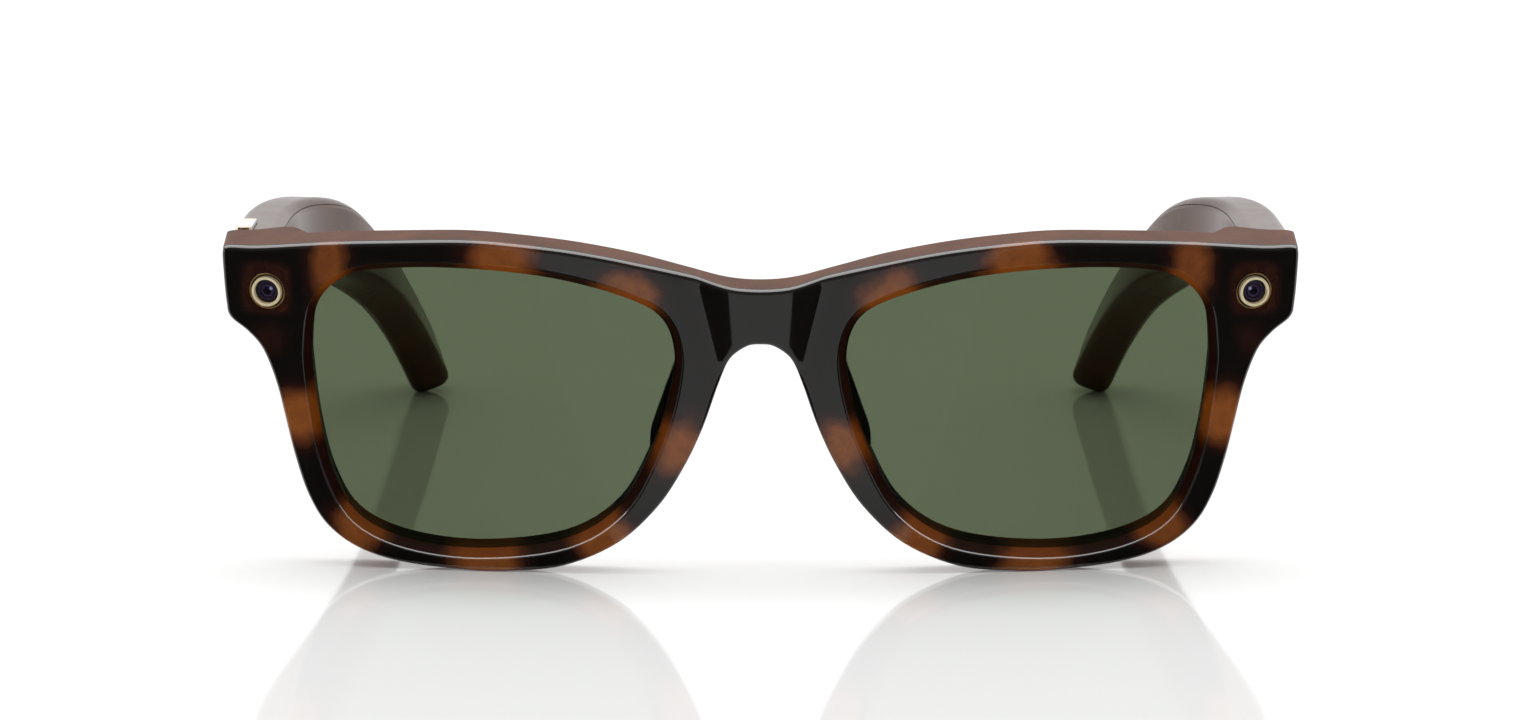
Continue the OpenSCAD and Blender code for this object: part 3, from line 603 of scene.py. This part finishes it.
FINISH = {
    "acetate": tortoise("tortoise_front", PATCHES, 0.42),
    "rear_sheet": sheet("rear_sheet", (0.078, 0.028, 0.014), (0.132, 0.050, 0.025), 0.03),
    # The walls of the openings: the tortoise lifted and warmer, a painted glow of light through the
    # acetate's edges, and nearly without gloss
    "rim": tortoise("tortoise_rim", PATCHES, 0.01, 0.25, (0.3, 0.4), RIM_GLOW_TONES),
    "temple": tortoise("tortoise_temple", None, 0.3, 0.06),
    "temple_inner": sheet("temple_inner_sheet", (0.046, 0.018, 0.010), (0.080, 0.033, 0.017), 0.05),
    "lens": lens_green("lens_green"),
    "gold": plain("gold", (0.86, 0.72, 0.46), 0.16, 1.0, grain=1500.0, vary=0.06),
    "steel": plain("steel", (0.60, 0.61, 0.63), 0.3, 1.0, grain=1200.0, vary=0.08, stretch=(1, 6, 1)),
    "silver": plain("silver", (0.74, 0.74, 0.75), 0.24, 1.0, grain=1400.0, vary=0.05, stretch=(4, 1, 4)),
    "black_plastic": plain("black_plastic", (0.012, 0.012, 0.013), 0.42, grain=1800.0, vary=0.2,
                           bump=0.00002),
    "board": plain("board", (0.03, 0.14, 0.08), 0.38, coat=0.3, grain=700.0, vary=0.25),
    "copper": plain("copper", (0.55, 0.30, 0.14), 0.34, 0.8, grain=900.0),
    "foil": plain("foil", (0.40, 0.42, 0.45), 0.4, 0.9, grain=500.0, bump=0.00003),
    "optic": plain("optic", (0.012, 0.010, 0.030), 0.05, coat=1.0, grain=300.0, vary=0.3),
    "pipe": plain("pipe", (0.05, 0.045, 0.07), 0.2, coat=1.0, grain=600.0, vary=0.2),
    "light": plain("light", (0.75, 0.77, 0.74), 0.3, grain=600.0, vary=0.05),
}


def at_module(t):
    """Millimetres across a module's axis, outward and down, the same on both sides."""
    at = t.add("ShaderNodeSeparateXYZ", {0: object_place(t)})
    one_side = t.add("ShaderNodeCombineXYZ", {"X": t.math("ABSOLUTE", at.outputs[0]), "Y": at.outputs[1],
                                              "Z": at.outputs[2]}).outputs[0]
    upright = Matrix.Translation((0, -MID_Y, 0)) @ Matrix.Rotation(TILT, 4, "X")
    seat = upright @ Matrix.Translation((0, 0, -DROP / COS)) @ on_face(RING_U, MODULE_V)
    local = t.add("ShaderNodeMapping", {"Vector": one_side, "Location": seat.translation * MM,
                                        "Rotation": tuple(seat.to_euler()), "Scale": (MM, MM, MM)},
                  vector_type="TEXTURE").outputs[0]
    return t.add("ShaderNodeVectorMath", {0: local, 1: (1, 1, 0)}, operation="MULTIPLY").outputs[0]


def far_from(t, place, spot=(0, 0, 0)):
    """How far the place is from the spot."""
    return t.add("ShaderNodeVectorMath", {0: place, 1: spot}, operation="DISTANCE").outputs["Value"]


def module_ring(name):
    """A pale gold ring, a dark gap and a thin gold line round them."""
    t = Tree(name)
    place = at_module(t)
    r = t.math("DIVIDE", far_from(t, place), RING_D / 2)
    speck = t.noise(place, 6.0, 2.0).outputs["Fac"]
    pale, black, deep = (0.93, 0.80, 0.52), (0.008, 0.006, 0.005), (0.62, 0.38, 0.14)
    colour = t.ramp(r, [(0.0, black), (0.66, black), (0.68, pale), (0.83, pale),
                        (0.85, black), (0.93, black), (0.95, deep), (1.0, deep)])
    return t.shade(colour=colour, rough=spread(t, speck, 0.26, 0.36), metal=0.35)


def module_glass(name):
    """Dark coated glass with painted purple reflection rings and one painted glint."""
    t = Tree(name)
    place = at_module(t)
    r = t.math("DIVIDE", far_from(t, place), RING_D / 2 - 0.75)
    speck = t.noise(place, 1.5, 2.0).outputs["Fac"]
    r = t.math("ADD", r, t.math("MULTIPLY", t.math("SUBTRACT", speck, 0.5), 0.05))
    # Painted reflections: purple and grey rings on the dark glass
    rings = t.ramp(r, [(0.0, (0.003, 0.002, 0.004)), (0.30, (0.006, 0.004, 0.010)),
                       (0.42, (0.045, 0.030, 0.070)), (0.52, (0.008, 0.006, 0.012)),
                       (0.70, (0.030, 0.022, 0.042)), (0.84, (0.012, 0.010, 0.014)),
                       (0.93, (0.14, 0.13, 0.15)), (1.0, (0.02, 0.017, 0.02))])
    # A painted glint: a soft pale blue spot up and inward of the middle
    painted_glint = fade(t, far_from(t, place, (-0.5, -0.35, 0)), 0.34, 0.05)
    colour = t.add("ShaderNodeMix", {"Factor": painted_glint, "A": rings, "B": (0.30, 0.34, 0.55, 1.0)},
                   data_type="RGBA")
    return t.shade(colour=colour.outputs["Result"], rough=0.04, coat=0.6, coat_rough=0.02)


def finish(obj, name):
    """Gives the object one finish in place of any other."""
    obj.data.materials.clear()
    obj.data.materials.append(FINISH[name])
    return obj


# ---- front

# Where the rear face steps back to the seams, across and upward
STEP_U, STEP_V = (62.2, 63.6), (31.0, 32.6)
# The bridge's relief: half widths of its ridge and creases at one height, their growth with height, and the
# slope, its rounding and how far out the face is level again
RELIEF_V, RIDGE_HALF, RIDGE_GROWS, CREASE_HALF, CREASE_GROWS = 28.5, 2.6, 0.08, 5.4, 0.243
RELIEF_SLOPE, RELIEF_ROUND, RELIEF_OUT, RELIEF_FROM = 0.36, 0.9, 9, 26


def brow_band(a, b, reach):
    """A closed band under the brow, from a to b below it and as wide as reach on each side."""
    right = [p for p in smooth(BROW, 3, False) if p[0] <= reach]
    line = right + [(-u, v) for u, v in right[-2::-1]]
    return [(u, v - a) for u, v in line] + [(u, v - b) for u, v in line[::-1]]


def rear(u, v):
    """The rear face, which runs back to the seams at the end pieces."""
    seam = (SEAM_Y + (v - DROP / COS) * SIN) / COS
    return sag(u, FRONT_T) + (seam - sag(u, FRONT_T)) * ease(*STEP_U, abs(u)) * ease(*STEP_V, v)


def crease(v):
    """Where the bridge's crease runs, from the brow down to the arch."""
    return CREASE_HALF + CREASE_GROWS * (v - RELIEF_V)


def face(u, v):
    """The outer face: a ridge down the middle of the bridge, falling to a crease on each side."""
    u, c, ridge = abs(u), crease(v), RIDGE_HALF + RIDGE_GROWS * (v - RELIEF_V)
    fall = max(0.0, min(u, c) - ridge)
    return sag(u) + RELIEF_SLOPE * fall * fall / (fall + RELIEF_ROUND) * (1 - ease(c, c + RELIEF_OUT, u))


def round_edge(w, d, n=6):
    """An edge rounded over w of the face and d of the wall."""
    turns = [math.pi / 2 * (1 - i / n) for i in range(n + 1)]
    return [(w * (1 - math.cos(a)), d * (1 - math.sin(a))) for a in turns]


def on_face(u, v):
    """Onto the outer face at u and v, with z out of the material."""
    return (Matrix.Translation((0, FRONT_R, v)) @ Matrix.Rotation(math.asin(u / FRONT_R), 4, "Z")
            @ Matrix.Translation((0, -FRONT_R, 0)) @ Matrix.Rotation(-math.pi / 2, 4, "X"))


def in_plane(shape):
    """A shape of the front's own plane, put in the row frame."""
    return [in_front(v) for v in shape[0]], shape[1]


def evenly(start, gap, count):
    """As many values as the count, a gap apart."""
    return [start + gap * i for i in range(count)]


FINISH["module_ring"] = module_ring("module_ring")
FINISH["module_glass"] = module_glass("module_glass")
opening = smooth([share(a, b) for a, b in LENS], 6)
mirrored_opening = [(-u, v) for u, v in opening]
# The bevel round each opening, and the square edge of the channel
SLANT = [(1.4, 0), (1.29, 0.015), (1.19, 0.06), (1.1, 0.14), (1.02, 0.25), (0.55, 0.85), (0.06, 1.5),
         (0, 1.62)]
EDGE = [(0, 0)]
# Extra points where the rear face steps back, along the creases, on the ridge and beside the creases
ON_RIDGE = 0.55
FLANK = [(s * u, v) for s in (1, -1) for u in evenly(61.4, 0.5, 8) for v in evenly(30.2, 0.5, 28)]
RIDGE = [(s * (crease(v) + d), v)
         for s in (1, -1) for v in evenly(RELIEF_FROM, 0.35, 42) for d in (-0.07, 0.07)]
RIDGE += [(ON_RIDGE * i, v)
          for i in range(-13, 14) for v in evenly(RELIEF_FROM, 0.7, 21)
          if abs(ON_RIDGE * i) < crease(v) - 0.4]
RIDGE += [(s * (crease(v) + d), v)
          for s in (1, -1) for v in evenly(RELIEF_FROM, 0.8, 19) for d in (0.7, 1.5, 2.6)]
front_shape = plate([smooth(OUTLINE, 6), opening, mirrored_opening], face, rear,
                    (round_edge(0.75, 0.75), SLANT), (round_edge(0.3, 0.3), round_edge(0.25, 0.25)),
                    extra=FLANK + RIDGE)
front = mesh_object("front_body", *front_shape, place=in_front)
# The module bores, the channel under the rear cover and the pocket of the charging carrier
bore = tube(RING_D + 2 * SLACK, -3, 3.2, 64)
cutters = [in_plane(put(bore, on_face(u, MODULE_V))) for u in (RING_U, -RING_U)]
cutters.append(in_plane(plate([brow_band(0.6, 3.7, HALF_W - 13)], lambda u, v: sag(u, FRONT_T - 1.2),
                              lambda u, v: sag(u, FRONT_T + 1), (EDGE, EDGE), (EDGE, EDGE), grid=3.0)))
cutters.append(in_plane(box(-4.1, 4.1, FRONT_T - 1.5, FRONT_T + 2.5, ARCH_V + 0.9, ARCH_V + 3.9)))
cut(front, cutters)
finish(polish(front, 24), "acetate")
front.data.materials.append(FINISH["rim"])
front.data.materials.append(FINISH["rear_sheet"])
# Slot 1, a painted glow of light through the acetate in a warmer and brighter tortoise, is the wall of the
# openings and a band behind the face's edge, and slot 2 the sheet behind it
WALL_FROM, WALL_TO, WALL_REACH = 0.3, FRONT_T - 0.4, 1.5
BAND_FROM, SHEET_FROM = 0.72, 1.7
turned = [loop if signed_area(loop) > 0 else loop[::-1] for loop in (opening, mirrored_opening)]
walls = [inset(loop, -WALL_REACH) for loop in turned]
for poly in front.data.polygons:
    x, y, z = (c * PER_METRE for c in poly.center)
    depth = (y + MID_Y) * COS + z * SIN - face(x, z / COS)
    if WALL_FROM < depth < WALL_TO and inside(walls, x, (z + DROP) / COS):
        poly.material_index = 1
    elif depth > BAND_FROM:
        poly.material_index = 1 if depth < SHEET_FROM else 2
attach(front, "front")
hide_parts("front_frame")

# A lens reaches past its opening, into the groove, and lies this far behind the face
LENS_REACH, LENS_AT = 0.6, 1.6
LENS_EDGES = (round_edge(0.12, 0.12, 3),) * 2
for name, sign in (("left", 1), ("right", -1)):
    loop = [(sign * u, v) for u, v in smooth([share(a, b, LENS_REACH) for a, b in LENS], 6)]
    shape = plate([loop], lambda u, v: sag(u, LENS_AT), lambda u, v: sag(u, LENS_AT + LENS_T),
                  LENS_EDGES, LENS_EDGES, grid=1.5)
    lens = finish(polish(mesh_object("lens_body_" + name, *shape, place=in_front)), "lens")
    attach(lens, "front")
    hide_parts("lens_" + name)


def ellipsoid(centre, radii, n=28):
    """Points on an ellipsoid."""
    pts = []
    for i in range(n + 1):
        a = math.pi * i / n
        for k in range(2 * n):
            b = math.pi * k / n
            x = radii[0] * math.sin(a) * math.cos(b)
            y = radii[1] * math.sin(a) * math.sin(b)
            z = radii[2] * math.cos(a)
            pts.append((centre[0] + x, centre[1] + y, centre[2] + z))
    return pts


def nose_pad(sign):
    """A smooth pad on the flank of the nose arch."""
    pts = (ellipsoid((BRIDGE_W / 2 - 1.8, FRONT_T, ARCH_V - 7), (2.2, 3.08, 5.72))
           + ellipsoid((BRIDGE_W / 2 + 1.2, FRONT_T, ARCH_V - 15), (2.2, 3.08, 4.84))
           + ellipsoid((BRIDGE_W / 2 + 0.4, FRONT_T + 3.6, ARCH_V - 12.4), (1.6, 2.0, 5.2)))
    bm = bmesh.new()
    for p in pts:
        bm.verts.new([c * MM for c in in_front((sign * p[0], max(p[1], FRONT_T - 0.6), p[2]))])
    bmesh.ops.remove_doubles(bm, verts=bm.verts, dist=0.00002)
    made = bmesh.ops.convex_hull(bm, input=bm.verts)
    loose = {e for e in made["geom_interior"] + made["geom_unused"] if isinstance(e, bmesh.types.BMVert)}
    bmesh.ops.delete(bm, geom=list(loose), context="VERTS")
    bmesh.ops.recalc_face_normals(bm, faces=bm.faces)
    mesh = bpy.data.meshes.new("pad")
    bm.to_mesh(mesh)
    bm.free()
    obj = bpy.data.objects.new("nose_pad_body_" + ("left" if sign > 0 else "right"), mesh)
    bpy.context.scene.collection.objects.link(obj)
    return obj


for side, sign in (("left", 1), ("right", -1)):
    pad = finish(polish(nose_pad(sign), 40), "acetate")
    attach(pad, "front")
    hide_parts("nose_pad_" + side)


# ---- temples

SPEAKER_S, SLOT_OFF, MICROPHONE_S, SWITCH_S = 72, 2.2, 20.5, 27
BUTTON_S, BUTTON_O = 2.2 + BUTTON_LEN / 2, TEMPLE_T / 2 - 2.1
# How squarely a face looks outward where it still wears the tortoise sheet
OUTWARD = 0.55


def hinge_room():
    """The room of the knuckles, the seam, the hinge plate and the middle knuckle's arm."""
    r, kh = KNUCKLE_D / 2 + GAP, HINGE_H / 3 - 0.1
    z0, z1 = HINGE_LOW - GAP, HINGE_LOW + HINGE_H + GAP
    edge, middle = HINGE_X + KNUCKLE_D / 2, HINGE_LOW + HINGE_H / 3
    return [put(tube(2 * r, z0, z1, 64), Matrix.Translation((HINGE_X, HINGE_Y, 0))),
            box(HINGE_X - 6, HINGE_X + r, SEAM_Y + GAP - 2, HINGE_Y, z0, z1),
            box(edge - 1.3, edge + 0.1, HINGE_Y, HINGE_Y + KNUCKLE_D / 2 + 7.6,
                HINGE_LOW + 0.3, HINGE_LOW + HINGE_H - 1.1),
            box(HINGE_X - 4, edge + 0.1, HINGE_Y + 0.01, HINGE_Y + 3.7, middle - GAP, middle + kh + GAP)]


def shell_tools(left):
    """What is cut from a shell: hinge room, cavity, speaker slots, microphone hole and the button's seat."""
    low = -TEMPLE_H / 2 - 1
    tools = hinge_room()
    tools.append(strip(CAV_FROM - 1.2, CAV_TO + 1.2, -8, COVER_IN, -CAV_U - 0.7, CAV_U + 0.7))
    for k in (-1, 1):
        slot = box(-0.9, 0.9, k * SLOT_OFF - 1.2, k * SLOT_OFF + 1.2, low, low + 4)
        tools.append(put(slot, temple_matrix(SPEAKER_S)))
    microphone = temple_matrix(MICROPHONE_S) @ Matrix.Translation((TIP_T / 2 - WALL - 1.2, 0, 0))
    tools.append(put(tube(0.8, low, low + 4, 20), microphone))
    if not left:
        button = temple_matrix(BUTTON_S) @ Matrix.Translation((BUTTON_O, 0, height(BUTTON_S) / 2))
        seat = pill(BUTTON_LEN + 2 * SLACK, BUTTON_W + 2 * SLACK, -1.3 - BUTTON_TRAVEL - SLACK, 4.3)
        tools.append(put(seat, button))
    return tools


def cover_holes(left):
    """The screw holes of an inner cover and, on the left one, the slot of the power slider."""
    across = Matrix.Rotation(math.pi / 2, 4, "Y")
    holes = [put(tube(1.25, -6, -TIP_T / 2 + COVER_T + 1, 24), temple_matrix(s) @ across)
             for s in (CAV_FROM + 1.2, CAV_TO - 1.2)]
    if left:
        holes.append(put(box(-8, 1, -1.8, 3.8, -1.0, 1.0), temple_matrix(SWITCH_S)))
    return holes


for side in ("left", "right"):
    left = side == "left"
    shell = mesh_object("temple_body_" + side, *placed(temple_body(), left))
    cover = mesh_object("temple_cover_body_" + side, *placed(temple_body(), left))
    cut(shell, [placed(tool, left) for tool in shell_tools(left)])
    panel = strip(CAV_FROM - 1.1, CAV_TO + 1.1, -8, COVER_IN - 0.02, -CAV_U - 0.6, CAV_U + 0.6)
    cut(cover, [placed(panel, left)], "INTERSECT")
    cut(cover, [placed(hole, left) for hole in cover_holes(left)])
    for obj, node in ((shell, "temple_shell_"), (cover, "temple_cover_")):
        finish(polish(obj), "temple")
        obj.data.materials.append(FINISH["temple_inner"])
        for poly in obj.data.polygons:
            outward = poly.normal.x if left else -poly.normal.x
            poly.material_index = 0 if outward > OUTWARD else 1
        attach(obj, "temple_" + side)
        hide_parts(node + side)

# ---- carried-over pieces

DRESS = {
    "gold": ["button_caps", "charging_contacts"],
    "module_ring": ["camera_ring", "light_ring"],
    "module_glass": ["camera_glass", "light_glass"],
    "optic": ["camera_element"],
    "pipe": ["light_pipe"],
    "light": ["status_light"],
    "rear_sheet": ["rear_cover"],
    "silver": ["capture_button"],
    "black_plastic": ["camera_barrel", "charging_carrier", "power_switch", "power_slider", "button_switch",
                      "speaker_left", "speaker_right"],
    "board": ["camera_board", "light_board", "main_board"],
    "copper": ["front_flex", "touch_strip", "temple_flex_left", "temple_flex_right", "antenna"],
    "foil": ["battery_left", "battery_right"],
}
FINISHED = {node: name for name, nodes in DRESS.items() for node in nodes}
# How wide each piece's edges are rounded, in millimetres
FINE_ROUND = 0.05
ROUNDS = {"capture_button": 0.35, "button_caps": 0.35, "power_slider": 0.15, "camera_ring": 0.06,
          "light_ring": 0.06, "rear_cover": 0.08, "front_hinge_left": 0.15, "front_hinge_right": 0.15,
          "temple_hinge_left": 0.12, "temple_hinge_right": 0.12, "charging_carrier": 0.12}
HIDDEN = {"front_frame", "lens_left", "lens_right", "nose_pad_left", "nose_pad_right", "temple_shell_left",
          "temple_shell_right", "temple_cover_left", "temple_cover_right"}
for node, obj in NODES.items():
    if node in HIDDEN:
        continue
    obj.material_slots[0].material = FINISH[FINISHED.get(node, "steel")]
    bevel = obj.modifiers.new("edges", "BEVEL")
    bevel.width = ROUNDS.get(node, FINE_ROUND) * MM
    bevel.segments, bevel.limit_method, bevel.angle_limit = 3, "ANGLE", math.radians(40)
    bevel.use_clamp_overlap = True
    bevel.harden_normals = True

# ---- floor, light and camera


def card(name, shader, corners):
    """A flat card of the stage, with its corners in metres."""
    mesh = bpy.data.meshes.new(name)
    mesh.from_pydata(corners, [], [tuple(range(len(corners)))])
    obj = bpy.data.objects.new(name, mesh)
    bpy.context.scene.collection.objects.link(obj)
    obj.data.materials.append(shader)
    return obj


def only_mirrored(obj):
    """Leaves a card to be seen in polished surfaces alone."""
    obj.visible_camera = False
    obj.visible_diffuse = False
    obj.visible_shadow = False
    obj.visible_transmission = False


floor = Tree("floor")
speck = floor.noise(object_place(floor), 3.0, 2.0).outputs["Fac"]
floor_tone = floor.ramp(speck, [(0.2, (0.86, 0.86, 0.86)), (0.8, (0.88, 0.88, 0.88))])
floor.shade(colour=floor_tone, rough=0.05, ior=1.5, glow=0.06, glow_colour=(1.0, 1.0, 1.0))
card("floor", floor.mat, [(-4, -4, 0), (4, -4, 0), (4, 6, 0), (-4, 6, 0)])

# Dark flags before the front, which only the polished faces mirror, and from one side only
flag = bpy.data.materials.new("flag")
flag.use_nodes = True
tree = flag.node_tree
tree.nodes.clear()
out = tree.nodes.new("ShaderNodeOutputMaterial")
mix = tree.nodes.new("ShaderNodeMixShader")
clear = tree.nodes.new("ShaderNodeBsdfTransparent")
black = tree.nodes.new("ShaderNodeEmission")
black.inputs["Color"].default_value = (0.012, 0.011, 0.011, 1)
tree.links.new(tree.nodes.new("ShaderNodeNewGeometry").outputs["Backfacing"], mix.inputs[0])
tree.links.new(black.outputs[0], mix.inputs[1])
tree.links.new(clear.outputs[0], mix.inputs[2])
tree.links.new(mix.outputs[0], out.inputs["Surface"])
FLAG_Z, FLAG_END, FLAG_AHEAD = 0.0006, -1.4, 0.3
for side in (1, -1):
    near = [(x * side * MM, (sag(x) * COS - MID_Y - FLAG_AHEAD) * MM, FLAG_Z) for x in range(18, 76, 6)]
    corners = near + [(1.2 * side, near[-1][1], FLAG_Z), (1.6 * side, FLAG_END, FLAG_Z),
                      (0.52 * side, FLAG_END, FLAG_Z)]
    shade = card("flag_" + ("left" if side > 0 else "right"), flag, corners if side < 0 else corners[::-1])
    only_mirrored(shade)

# A bright card overhead that only the polished edges mirror
glow = Tree("glow")
glow.shade(colour=(0.0, 0.0, 0.0), glow=10.0, glow_colour=(1.0, 0.985, 0.975))
SHINE_HALF, SHINE_FROM, SHINE_TO, SHINE_Z = 1.2, -0.42, 0.22, 0.55
shine = card("shine", glow.mat, [(-SHINE_HALF, SHINE_FROM, SHINE_Z), (SHINE_HALF, SHINE_FROM, SHINE_Z),
                                 (SHINE_HALF, SHINE_TO, SHINE_Z), (-SHINE_HALF, SHINE_TO, SHINE_Z)])
only_mirrored(shine)

# White all round, dimmer on the camera's side
world = bpy.data.worlds.new("studio")
bpy.context.scene.world = world
world.use_nodes = True
tree = world.node_tree
back = tree.nodes["Background"]
split = tree.nodes.new("ShaderNodeSeparateXYZ")
tree.links.new(tree.nodes.new("ShaderNodeTexCoord").outputs["Generated"], split.inputs[0])
level = tree.nodes.new("ShaderNodeMapRange")
level.interpolation_type = "SMOOTHSTEP"
for key, value in {"From Min": -0.55, "From Max": 0.15, "To Min": 0.35, "To Max": 1.0}.items():
    level.inputs[key].default_value = value
tree.links.new(split.outputs[1], level.inputs["Value"])
tree.links.new(level.outputs[0], back.inputs["Strength"])
back.inputs["Color"].default_value = (1, 1, 1, 1)


def softbox(name, at, towards, size, power):
    """A rectangular light that the camera doesn't see."""
    light = bpy.data.lights.new(name, "AREA")
    light.shape, light.size, light.size_y, light.energy = "RECTANGLE", size[0], size[1], power
    obj = bpy.data.objects.new(name, light)
    bpy.context.scene.collection.objects.link(obj)
    obj.location = at
    obj.rotation_euler = (Vector(towards) - Vector(at)).to_track_quat("-Z", "Y").to_euler()
    obj.visible_camera = False
    return obj


softbox("top_light", (0, 0.0, 1.3), (0, 0, 0), (2.2, 1.2), 15)

# The sensor and focal length in millimetres, and a camera one metre from its target, in metres
SENSOR_W, FOCAL, ELEVATION = 36.0, 175.6213, math.radians(10)
TARGET = Vector((0, -MID_Y * MM, 0.0296))
camera = bpy.data.objects.new("camera", bpy.data.cameras.new("camera"))
bpy.context.scene.collection.objects.link(camera)
bpy.context.scene.camera = camera
camera.data.sensor_width = SENSOR_W
camera.data.lens = FOCAL
camera.data.clip_start, camera.data.clip_end = 0.01, 20.0
camera.location = TARGET + Vector((0, -math.cos(ELEVATION), math.sin(ELEVATION)))
camera.rotation_euler = (math.pi / 2 - ELEVATION, 0, 0)
bpy.context.scene.view_settings.view_transform = "Standard"
